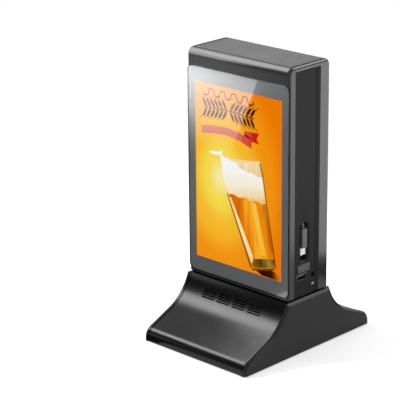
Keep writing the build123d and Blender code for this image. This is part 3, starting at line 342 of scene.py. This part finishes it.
# ---------------------------------------------------------------- finishes onto the CAD pieces
finish_of = {
    "front_housing": front_satin, "rear_housing": housing_gloss, "cover_glass": cover,
    "glass_tape": foam_tape, "lcd_panel": chip_epoxy, "backlight_unit": reflector,
    "lcd_bracket": pressed_steel, "top_cap": cap_textured, "right_side_panel": panel_matte,
    "left_side_panel": panel_matte, "charge_lead": overmould_rubber, "lead_grommet": seal_rubber_and_painted_shade,
    "lead_overmould": overmould_rubber, "lead_plug": white_plastic, "charger_board": board_mask,
    "charger_standoffs": zinc, "lead_terminal": insulator, "usb_socket": nickel,
    "usb_tongue": insulator, "usb_support": insulator, "power_jack": insulator,
    "light_pipe": clear_pipe, "volume_down_button": button_satin, "volume_up_button": button_satin,
    "power_button": button_satin, "volume_down_switch_stem": insulator,
    "volume_up_switch_stem": insulator, "power_switch_stem": insulator, "tact_switches": insulator,
    "button_board": board_mask, "button_board_clip": pressed_steel, "main_board": board_mask,
    "board_posts": zinc, "board_screws": zinc, "board_chips": chip_epoxy, "display_flex": polyimide,
    "front_skirt": base_satin, "rear_skirt": base_satin, "left_cheek": base_satin,
    "right_cheek": base_satin, "base_tray": base_tray_plastic, "foot_front_left": foot_rubber,
    "foot_front_right": foot_rubber, "foot_rear_left": foot_rubber, "foot_rear_right": foot_rubber,
    "base_deck": base_tray_plastic, "tower_gasket": seal_rubber_and_painted_shade, "tower_stiffener": pressed_steel,
    "tower_bolts": zinc, "housing_screws": blackened, "base_screws": zinc, "left_speaker": cone_paper,
    "right_speaker": cone_paper, "speaker_gaskets": seal_rubber_and_painted_shade, "ballast_plate": blackened,
    "battery_cradle": base_tray_plastic, "battery_cells": cell_wrap, "protection_board": board_mask,
    "wiring_loom": sleeve,
}
for name, made in finish_of.items():
    nodes[name].data.materials.clear()
    nodes[name].data.materials.append(made)
    nodes[name].material_slots[0].material = made

# ---------------------------------------------------------------- printed border and lit picture
glass_low, glass_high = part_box("cover_glass")
lcd_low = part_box("lcd_panel")[0]
lit_width = 107.6 * MM          # lit area of an 8-inch display
lit_height = 172.2 * MM
lit_foot = lcd_low.z + 8.0 * MM
screen_y = lcd_low.y            # face of the display
layer = 0.022 * MM              # picture layers lie this far apart, in front of the display
film = 0.3 * layer              # thickness of one picture layer
border_inset = 0.5 * MM         # the printed border stops this far inside the edge of the glass
border_thick = 0.02 * MM
seal_lap = 0.02 * MM            # the edge seal starts this far inside the edge of the glass
seal_side = 0.15 * MM           # it fills the gap beside the glass
seal_end = 0.13 * MM            # and the gap above and below it
seal_back = 0.25 * MM           # its back lies this far behind the glass
seal_depth = 1.4 * MM


def outline(corners, rounding=0.0):
    """A flat face on the XZ plane through its corners in metres, the corners rounded."""
    shape = bmesh.new()
    shape.faces.new([shape.verts.new((x, 0.0, z)) for x, z in corners])
    if rounding:
        bmesh.ops.bevel(shape, geom=shape.verts[:], offset=rounding, segments=5, profile=0.5,
                        affect="VERTICES", material=-1)
    return shape


def rectangle(x0, z0, x1, z1):
    return [(x0, z0), (x1, z0), (x1, z1), (x0, z1)]


def round_the_glass(side, end):
    """The corners of the glass, moved out at its sides and at its ends."""
    return rectangle(glass_low.x - side, glass_low.z - end, glass_high.x + side, glass_high.z + end)


def frame_sheet(sheet, hole):
    """A flat frame: one outline with another taken out of it."""
    mesh = bpy.data.meshes.new("hole")
    hole.to_mesh(mesh)
    hole.free()
    sheet.from_mesh(mesh)
    bpy.data.meshes.remove(mesh)
    bmesh.ops.delete(sheet, geom=sheet.faces[:], context="FACES_ONLY")
    bmesh.ops.triangle_fill(sheet, use_beauty=True, use_dissolve=False, edges=sheet.edges[:])
    return sheet


def stand_at(shape, y, thick):
    """Give a flat face its thickness towards the viewer and put it at its depth."""
    bmesh.ops.triangulate(shape, faces=shape.faces[:])
    bmesh.ops.recalc_face_normals(shape, faces=shape.faces[:])
    if sum(face.normal.y for face in shape.faces) > 0:
        bmesh.ops.reverse_faces(shape, faces=shape.faces[:])
    bmesh.ops.solidify(shape, geom=shape.faces[:], thickness=-thick)
    bmesh.ops.translate(shape, vec=(0.0, y, 0.0), verts=shape.verts)
    bmesh.ops.recalc_face_normals(shape, faces=shape.faces[:])
    return shape


# the border: the glass outline with the window taken out, laid inside the glass's back face; its grey is
# painted haze over a black print
window = rectangle(-lit_width / 2, lit_foot, lit_width / 2, lit_foot + lit_height)
border = frame_sheet(outline(round_the_glass(-border_inset, -border_inset), 5.5 * MM), outline(window))
piece("border_print", stand_at(border, glass_high.y - border_thick, border_thick), print_with_painted_haze)

# black seal in the gap round the edge of the glass
seal = frame_sheet(outline(round_the_glass(seal_side, seal_end), 6.1 * MM),
                   outline(round_the_glass(-seal_lap, -seal_lap), 6.0 * MM))
piece("glass_edge_seal", stand_at(seal, glass_high.y + seal_back, seal_depth), seal_rubber_and_painted_shade)


def picture(name, corners, material, depth, rounding=0.0):
    """One flat layer of the lit picture, its corners in millimetres."""
    shape = outline([(x * MM, z * MM) for x, z in corners], rounding * MM)
    return piece(name, stand_at(shape, screen_y - depth * layer, film), material)


# the glass of lager, tilted, with its shadow, foam and lights
picture("picture_backdrop", [(x / MM, z / MM) for x, z in window], backdrop_glow, 1)
picture("picture_shadow", [(22, 77), (30, 73.6), (52, 73.6), (53, 77), (46, 81), (30, 82)],
        floor_shade, 2, 1.6)
picture("picture_glass", [(-22.5, 180), (-14.5, 144), (14, 78.5), (18, 76.6), (44, 83), (47.2, 86),
                          (35.8, 144), (31.5, 169), (28, 181.5), (10, 178.5), (-5, 176.5)],
        glass_wall, 3, 1.2)
picture("picture_beer", [(-12.8, 146), (2, 148), (20, 146), (34.4, 144.5), (44.6, 92.5), (30, 90),
                         (19.2, 87)], beer_gold, 4, 1.2)
picture("picture_glass_base", [(19.0, 87), (30, 90), (45, 93), (45.2, 86.6), (43.4, 84.8), (21.5, 79.2),
                               (18.6, 80.4)], glass_base, 5, 1.0)
picture("picture_shine", [(-11.4, 141), (-8.6, 141.5), (18.8, 90), (18.4, 84), (16.4, 83)],
        glass_shine, 6, 0.8)
picture("picture_streak", [(16.8, 142), (22.4, 142), (35.0, 95), (28.8, 93)], beer_streak, 6, 1.2)
picture("picture_foam", [(-22.6, 182), (-20, 178.6), (-14, 179.2), (-9, 176.4), (-4, 177), (1, 172.4),
                         (7, 171.4), (12, 169.6), (18, 170.6), (24, 168.2), (31, 169.2), (33.4, 158),
                         (35.2, 145), (29, 142.6), (23, 144.8), (16, 142.4), (9, 145.6), (2, 142.8),
                         (-5, 145), (-13.6, 143.6), (-18.2, 159)], foam_white, 7, 1.6)
picture("picture_rim", [(-21.5, 181.5), (-5, 179.5), (10, 181), (27.5, 183.6), (28.4, 181.6), (10, 178.6),
                        (-4, 177), (-20, 178.8)], glass_shine, 8, 0.5)
# the dark line where the glass wall turns away, down both sides and under the foot
picture("picture_left_line", [(-21.4, 176), (-13.4, 142), (15.0, 80), (18.0, 76.8), (17.6, 78.8),
                              (16.2, 81), (-12.2, 142.6), (-20.4, 176)], glass_line, 6, 0.3)
picture("picture_right_line", [(26.8, 181.8), (28.2, 182.4), (31.8, 170), (36.4, 144), (47.6, 86.2),
                               (46.2, 84.6), (35.0, 144), (30.6, 168)], glass_line, 8, 0.3)
picture("picture_foot_line", [(18, 77.4), (44.2, 84.0), (46.8, 86.4), (44.4, 82.0), (30, 78.4),
                              (18.4, 75.8)], glass_line, 6, 0.3)
picture("picture_drops", [(-36, 181), (-24, 182.4), (-19.5, 184.6), (-19.6, 180), (-28, 178.6),
                          (-36, 179)], foam_white, 8, 0.8)
# ribbon: an arched band and its folded tail
picture("picture_ribbon_tail", [(8, 200.5), (26.5, 199.5), (23.2, 204), (26.6, 209.6), (8, 208.6)],
        ribbon_red, 2, 0.3)
picture("picture_ribbon_fold", [(8, 197), (16.5, 200.3), (16.5, 204), (8, 206)], ribbon_fold, 3, 0.2)
picture("picture_ribbon", [(-46, 196.4), (-30, 199), (-14, 200.2), (2, 198), (17, 193.6), (17, 201.4),
                           (2, 205.6), (-14, 207.6), (-30, 206.4), (-46, 204)], ribbon_red, 4, 0.3)


def turn(shape, verts, degrees, axis):
    """Turn part of a shape about an axis through the origin."""
    bmesh.ops.rotate(shape, cent=(0, 0, 0), matrix=Matrix.Rotation(radians(degrees), 3, axis), verts=verts)


kernel_pitch = 5.0 * MM
ear_base = (-11.5 * MM, 0, 224.0 * MM)


def barley(side):
    """An ear of barley lying flat, its tip to one side: kernels in pairs, each with an awn, on a stalk."""
    ear = bmesh.new()
    for number in range(6):
        for lean in (-1, 1):
            kernel = bmesh.ops.create_circle(ear, cap_ends=True, radius=1.0, segments=14)["verts"]
            bmesh.ops.scale(ear, vec=(5.0 * MM, 1.6 * MM, 1.0), verts=kernel)
            turn(ear, kernel, side * lean * 58, "Z")
            bmesh.ops.translate(ear, verts=kernel,
                                vec=(side * (5.0 * MM + kernel_pitch * number), lean * 4.9 * MM, 0))
            awn = bmesh.ops.create_grid(ear, x_segments=1, y_segments=1, size=0.5)["verts"]
            bmesh.ops.scale(ear, vec=(5.0 * MM, 0.6 * MM, 1.0), verts=awn)
            turn(ear, awn, side * lean * 40, "Z")
            bmesh.ops.translate(ear, verts=awn,
                                vec=(side * (9.5 * MM + kernel_pitch * number), lean * 9.4 * MM, 0))
    stalk = bmesh.ops.create_grid(ear, x_segments=1, y_segments=1, size=0.5)["verts"]
    bmesh.ops.scale(ear, vec=(31 * MM, 1.2 * MM, 1.0), verts=stalk)
    bmesh.ops.translate(ear, vec=(side * 16 * MM, 0, 0), verts=stalk)
    turn(ear, ear.verts, -side * 3, "Z")
    turn(ear, ear.verts, 90, "X")
    bmesh.ops.translate(ear, vec=ear_base, verts=ear.verts)
    return ear


# two ears lie stalk to stalk above the ribbon, on layers of their own
piece("picture_barley_left", stand_at(barley(-1), screen_y - 4 * layer, film), grain_brown)
piece("picture_barley_right", stand_at(barley(1), screen_y - 6 * layer, film), grain_brown)

# a running wave of half rings above them, each half turned the other way up from the last
ring_inner = 2.8 * MM
ring_outer = 4.2 * MM
ring_pitch = ring_inner + ring_outer
wave = bmesh.new()
for number in range(9):
    centre = Vector((-40.0 * MM + ring_pitch * number, 0, 237.6 * MM))
    ends = [wave.verts.new(centre + Vector((reach, 0, 0))) for reach in (ring_inner, ring_outer)]
    bmesh.ops.spin(wave, geom=ends + [wave.edges.new(ends)], cent=centre, axis=(0, 1, 0), dvec=(0, 0, 0),
                   angle=pi * (-1) ** number, steps=14, use_merge=False)
bmesh.ops.remove_doubles(wave, verts=wave.verts, dist=0.01 * MM)
piece("picture_wave", stand_at(wave, screen_y - 2 * layer, film), wave_brown)

# ---------------------------------------------------------------- lead
# It rises from its terminal on the charging board behind the panel, turns over and comes down into its
# overmould in the panel's channel.
mould_low, mould_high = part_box("lead_overmould")
lead_y = (mould_low.y + mould_high.y) / 2
lead_radius = 1.6 * MM
board_x = 0.0416                # over its terminal
channel_x = 0.0606              # in the channel
bend_z = 0.1319
lead_route = [(board_x, lead_y, 0.0756), (board_x, lead_y, 0.1129), (board_x, lead_y, bend_z),
              (channel_x, lead_y, bend_z), (channel_x, lead_y, 0.1214)]
curve = bpy.data.curves.new("charging_lead", "CURVE")
curve.dimensions = "3D"
spline = curve.splines.new("NURBS")
spline.points.add(len(lead_route) - 1)
for point, place in zip(spline.points, lead_route):
    point.co = (*place, 1.0)
spline.order_u = 3
spline.use_endpoint_u = True
spline.resolution_u = 24
curve.bevel_depth = lead_radius
curve.bevel_resolution = 6
curve.use_fill_caps = True
curve.materials.append(overmould_rubber)
lead = bpy.data.objects.new("charging_lead", curve)
scene.collection.objects.link(lead)
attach(lead, "stand")
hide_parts("charge_lead")


# ---------------------------------------------------------------- small details
def block(shape, size, place=(0, 0, 0)):
    """A plain block in a shape, its size and the place of its middle in metres."""
    verts = bmesh.ops.create_cube(shape, size=1.0)["verts"]
    bmesh.ops.scale(shape, vec=size, verts=verts)
    bmesh.ops.translate(shape, vec=place, verts=verts)


def power_ring(shape):
    """An open ring that stands in the YZ plane, with a bar through its gap."""
    for radius in (1.25 * MM, 0.85 * MM):
        bmesh.ops.create_circle(shape, cap_ends=False, radius=radius, segments=32)
    faces = bmesh.ops.bridge_loops(shape, edges=shape.edges[:])["faces"]
    middles = [(face, face.calc_center_median()) for face in faces]
    gap = [face for face, place in middles if abs(place.x) < mark_line and place.y > 0]
    bmesh.ops.delete(shape, geom=gap, context="FACES")
    bmesh.ops.solidify(shape, geom=shape.faces[:], thickness=mark_thick)
    turn(shape, shape.verts, 90, "X")
    turn(shape, shape.verts, 90, "Z")
    block(shape, (mark_thick, 0.4 * MM, 1.3 * MM), (0, 0, 1.1 * MM))


# raised marks on the button caps: minus, plus and a power ring
mark_thick = 0.16 * MM
mark_line = 0.42 * MM
mark_rise = 0.05 * MM           # the middle of a mark stands this far off its cap
for body in ("volume_down", "volume_up", "power"):
    low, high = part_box(body + "_button")
    heart = (low + high) / 2
    shape = bmesh.new()
    if body == "power":
        power_ring(shape)
    else:
        block(shape, (mark_thick, 2.2 * MM, mark_line))
    if body == "volume_up":
        for end in (-1, 1):
            block(shape, (mark_thick, mark_line, 0.88 * MM), (0, 0, end * 0.66 * MM))
    bmesh.ops.recalc_face_normals(shape, faces=shape.faces[:])
    bmesh.ops.translate(shape, vec=(low.x - mark_rise, heart.y, heart.z), verts=shape.verts)
    piece(body + "_mark", shape, mark_ink, body)

# four gold contacts along the underside of the tongue in the socket
contact_pitch = 2.5 * MM
tongue_low, tongue_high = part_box("usb_tongue")
contacts = bmesh.new()
for number in range(4):
    block(contacts, (8.0 * MM, 1.1 * MM, 0.12 * MM),
          (tongue_high.x - 4.6 * MM, (tongue_low.y + tongue_high.y) / 2 + (number - 1.5) * contact_pitch,
           tongue_low.z))
bmesh.ops.bevel(contacts, geom=contacts.edges[:], offset=0.04 * MM, segments=1, profile=0.5, affect="EDGES",
                material=-1)
piece("socket_contacts", contacts, gold)

# raised blank pad above the socket on the right panel, its corners round and its front edge eased
pad_thick = 0.5 * MM
pad_proud = 0.09 * MM
panel_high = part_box("right_side_panel")[1]
pad = bmesh.new()
block(pad, (pad_thick, 16.4 * MM, 7.6 * MM))
corners = [edge for edge in pad.edges if abs(edge.verts[0].co.x - edge.verts[1].co.x) > 1e-6]
bmesh.ops.bevel(pad, geom=corners, offset=0.8 * MM, segments=4, profile=0.5, affect="EDGES", material=-1)
front = [edge for edge in pad.edges if edge.verts[0].co.x > 0 and edge.verts[1].co.x > 0]
bmesh.ops.bevel(pad, geom=front, offset=0.12 * MM, segments=2, profile=0.5, affect="EDGES", material=-1)
bmesh.ops.translate(pad, verts=pad.verts,
                    vec=(panel_high.x + pad_proud - pad_thick / 2, -6.0 * MM, 83.6 * MM))
piece("blank_pad", pad, cap_textured)

# black strips in the grooves beside the top cap, each lapping over the cap's rounded edge: painted shade that
# stands in for the shadow gap there
cap_low, cap_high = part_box("top_cap")
rim_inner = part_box("front_housing")[1].x - 2.1 * MM
strip_lap = 0.7 * MM
strip_width = rim_inner - cap_high.x + strip_lap - 0.03 * MM
strip_x = (rim_inner + cap_high.x - strip_lap) / 2
strips = bmesh.new()
for side in (-1, 1):
    block(strips, (strip_width, cap_high.y - cap_low.y, 1.75 * MM),
          (side * strip_x, (cap_low.y + cap_high.y) / 2, cap_low.z + 0.9 * MM))
bmesh.ops.bevel(strips, geom=strips.edges[:], offset=0.2 * MM, segments=2, profile=0.5, affect="EDGES",
                material=-1)
piece("cap_groove_painted_shade", strips, seal_rubber_and_painted_shade)

# woven gauze behind the grille's slots, lying on the slope of the loudspeaker gaskets
gauze_width = 31.2 * MM
gauze_height = 11.4 * MM
gauze_thick = 0.12 * MM
gauze_lift = 1.9 * MM
speaker_x = 20.0 * MM
gasket_rise = 0.55 * MM         # a gasket's thickness adds this much to its box each way
gasket_low, gasket_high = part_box("speaker_gaskets")
tilt = atan2(gasket_high.z - gasket_low.z - gasket_rise, gasket_high.y - gasket_low.y - gasket_rise)
outward = Vector((0, -sin(tilt), cos(tilt)))
for side, hand in ((-1, "left"), (1, "right")):
    cloth = bmesh.new()
    bmesh.ops.create_grid(cloth, x_segments=24, y_segments=9, size=0.5)
    bmesh.ops.scale(cloth, vec=(gauze_width, gauze_height, 1.0), verts=cloth.verts)
    bmesh.ops.solidify(cloth, geom=cloth.faces[:], thickness=gauze_thick)
    bmesh.ops.recalc_face_normals(cloth, faces=cloth.faces[:])
    bmesh.ops.rotate(cloth, cent=(0, 0, 0), matrix=Matrix.Rotation(tilt, 3, "X"), verts=cloth.verts)
    place = (gasket_low + gasket_high) / 2 + outward * gauze_lift + Vector((side * speaker_x, 0, 0))
    bmesh.ops.translate(cloth, vec=place, verts=cloth.verts)
    piece("grille_gauze_" + hand, cloth, gauze)


# ---------------------------------------------------------------- floor, backdrop and lights
def seen_rays(tree):
    """1 for rays from the lens and those seen in gloss or through glass, 0 for light on the object."""
    rays = add(tree, "ShaderNodeLightPath")
    seen = add(tree, "ShaderNodeMath", {0: rays.outputs["Is Camera Ray"], 1: rays.outputs["Is Glossy Ray"]},
               operation="MAXIMUM")
    return add(tree, "ShaderNodeMath", {0: seen.outputs[0], 1: rays.outputs["Is Transmission Ray"]},
               operation="MAXIMUM").outputs[0]


# White sweep: matte paper near the object, so that it holds a shadow, and plain white further out.
white, tree = finish("white_sweep")
seen = seen_rays(tree)
place = add(tree, "ShaderNodeTexCoord").outputs["Object"]
reach = add(tree, "ShaderNodeVectorMath", {0: place}, operation="LENGTH")
fade = add(tree, "ShaderNodeMapRange", {"Value": reach.outputs["Value"], "From Min": 0.22, "From Max": 0.6},
           interpolation_type="SMOOTHSTEP")
far = add(tree, "ShaderNodeMath", {0: fade.outputs[0], 1: seen}, operation="MULTIPLY")
lift = add(tree, "ShaderNodeMath", {0: seen, 1: 0.5}, operation="MULTIPLY")
matte_paper = add(tree, "ShaderNodeBsdfDiffuse", {"Color": linear("#f4f4f4")})
paper_lift = add(tree, "ShaderNodeEmission", {"Color": (1, 1, 1, 1), "Strength": lift.outputs[0]})
near = add(tree, "ShaderNodeAddShader", {0: matte_paper.outputs[0], 1: paper_lift.outputs[0]})
glow = add(tree, "ShaderNodeEmission", {"Color": (1, 1, 1, 1), "Strength": 1.0})
surface(tree, add(tree, "ShaderNodeMixShader", {0: far.outputs[0], 1: near.outputs[0], 2: glow.outputs[0]}))

# The room lights the object evenly and is seen as plain white.
world = bpy.data.worlds.new("studio")
scene.world = world
world.use_nodes = True
tree = world.node_tree
tree.nodes.clear()
room = add(tree, "ShaderNodeBackground", {"Color": (1, 1, 1, 1), "Strength": 0.62})
paper = add(tree, "ShaderNodeBackground", {"Color": (1, 1, 1, 1), "Strength": 1.0})
mix = add(tree, "ShaderNodeMixShader", {0: seen_rays(tree), 1: room.outputs[0], 2: paper.outputs[0]})
add(tree, "ShaderNodeOutputWorld", {"Surface": mix.outputs[0]})


def facing(place, target):
    """The turn and place of a flat thing whose front, its +Z side, looks at a target."""
    look = (Vector(target) - Vector(place)).to_track_quat("Z", "Y")
    return Matrix.Translation(place) @ look.to_matrix().to_4x4()


def card(name, size, place, target, material, lean=0.0):
    """A flat card in the studio that faces a target, its sides leaning over by a slope."""
    shape = bmesh.new()
    bmesh.ops.create_grid(shape, x_segments=1, y_segments=1, size=0.5)
    bmesh.ops.scale(shape, vec=(*size, 1.0), verts=shape.verts)
    bmesh.ops.transform(shape, verts=shape.verts,
                        matrix=Matrix(((1, lean, 0, 0), (0, 1, 0, 0), (0, 0, 1, 0), (0, 0, 0, 1))))
    mesh = bpy.data.meshes.new(name)
    shape.to_mesh(mesh)
    shape.free()
    mesh.materials.append(material)
    made = bpy.data.objects.new(name, mesh)
    made.matrix_world = facing(place, target)
    scene.collection.objects.link(made)
    return made


def gloss_card(name, size, place, target, material, lean=0.0):
    """A card that shows in gloss and glass and does nothing else."""
    made = card(name, size, place, target, material, lean)
    made.visible_camera = False
    made.visible_diffuse = False
    made.visible_shadow = False


def glow_card(name, size, place, target, left, right, foot=1.0, lean=0.0):
    """A bright gloss card: its level at the left and the right, and how much of it is left at its foot."""
    made, tree = finish(name + "_glow")
    axes = add(tree, "ShaderNodeSeparateXYZ", {"Vector": add(tree, "ShaderNodeTexCoord").outputs["Object"]})
    side = add(tree, "ShaderNodeMapRange", {"Value": axes.outputs["X"], "From Min": -size[0] / 2,
                                            "From Max": size[0] / 2, "To Min": left, "To Max": right})
    rise = add(tree, "ShaderNodeMapRange", {"Value": axes.outputs["Y"], "From Min": -size[1] / 2,
                                            "From Max": size[1] / 2, "To Min": foot, "To Max": 1.0},
               interpolation_type="SMOOTHSTEP")
    level = add(tree, "ShaderNodeMath", {0: side.outputs[0], 1: rise.outputs[0]}, operation="MULTIPLY")
    surface(tree, add(tree, "ShaderNodeEmission", {"Color": (1, 1, 1, 1), "Strength": level.outputs[0]}))
    gloss_card(name, size, place, target, made, lean)


def felt_mat(name, size, x, y):
    """Black felt that lies on the floor and shows as a dark patch in gloss."""
    gloss_card(name, size, (x, y, 0.0005), (x, y, 1.0), felt)


middle = Vector((0, 0, 0.13))
top_edge = Vector((0.0, -0.02, 0.27))
right_rim = Vector((0.06, 0.0, 0.27))
# Black felt: it swallows light, so what mirrors it turns black.
felt, tree = finish("black_felt")
surface(tree, add(tree, "ShaderNodeBsdfDiffuse", {"Color": linear("#050505")}))

# the floor and the one lamp, up to the left of the lens
card("studio_floor", (12.0, 12.0), (0, 0, 0), (0, 0, 1), white)
lamp = bpy.data.lights.new("key_softbox", "AREA")
lamp.shape = "SQUARE"
lamp.size = 0.56
lamp.energy = 14.0
key = bpy.data.objects.new("key_softbox", lamp)
key_place = middle + 1.5 * Vector((-0.66, -0.37, 0.655))
key.matrix_world = facing(key_place, 2 * key_place - middle)      # a lamp shines from its -Z side
key.visible_camera = False
scene.collection.objects.link(key)

# what the gloss mirrors: black behind the lens and on the floor, bright cards for the edges and a window
gloss_card("low_flag", (1.7, 0.95), middle + 1.2 * Vector((-0.66, -0.73, 0.19)), middle, felt)
felt_mat("corner_felt", (0.4, 0.4), 0.33, -0.30)
felt_mat("rear_felt", (0.9, 0.8), -0.24, 0.55)
felt_mat("floor_felt", (0.66, 0.66), -0.38, -0.42)
glow_card("edge_card", (0.12, 0.22), (-0.079, -0.058, 0.35), top_edge, 9.0, 9.0)
glow_card("side_card", (0.26, 0.24), (0.19, 0.115, 0.15), (0.06, 0.0, 0.15), 3.6, 3.6, 0.8)
glow_card("rim_card", (0.5, 0.5), right_rim + 0.9 * Vector((0.32, 0.68, 0.66)), right_rim, 7.0, 7.0)
glow_card("window_card", (0.135, 0.105), (-0.384, -0.378, 0.081), (-0.384, 0.0, 0.081), 3.4, 7.8, 0.0, -0.445)
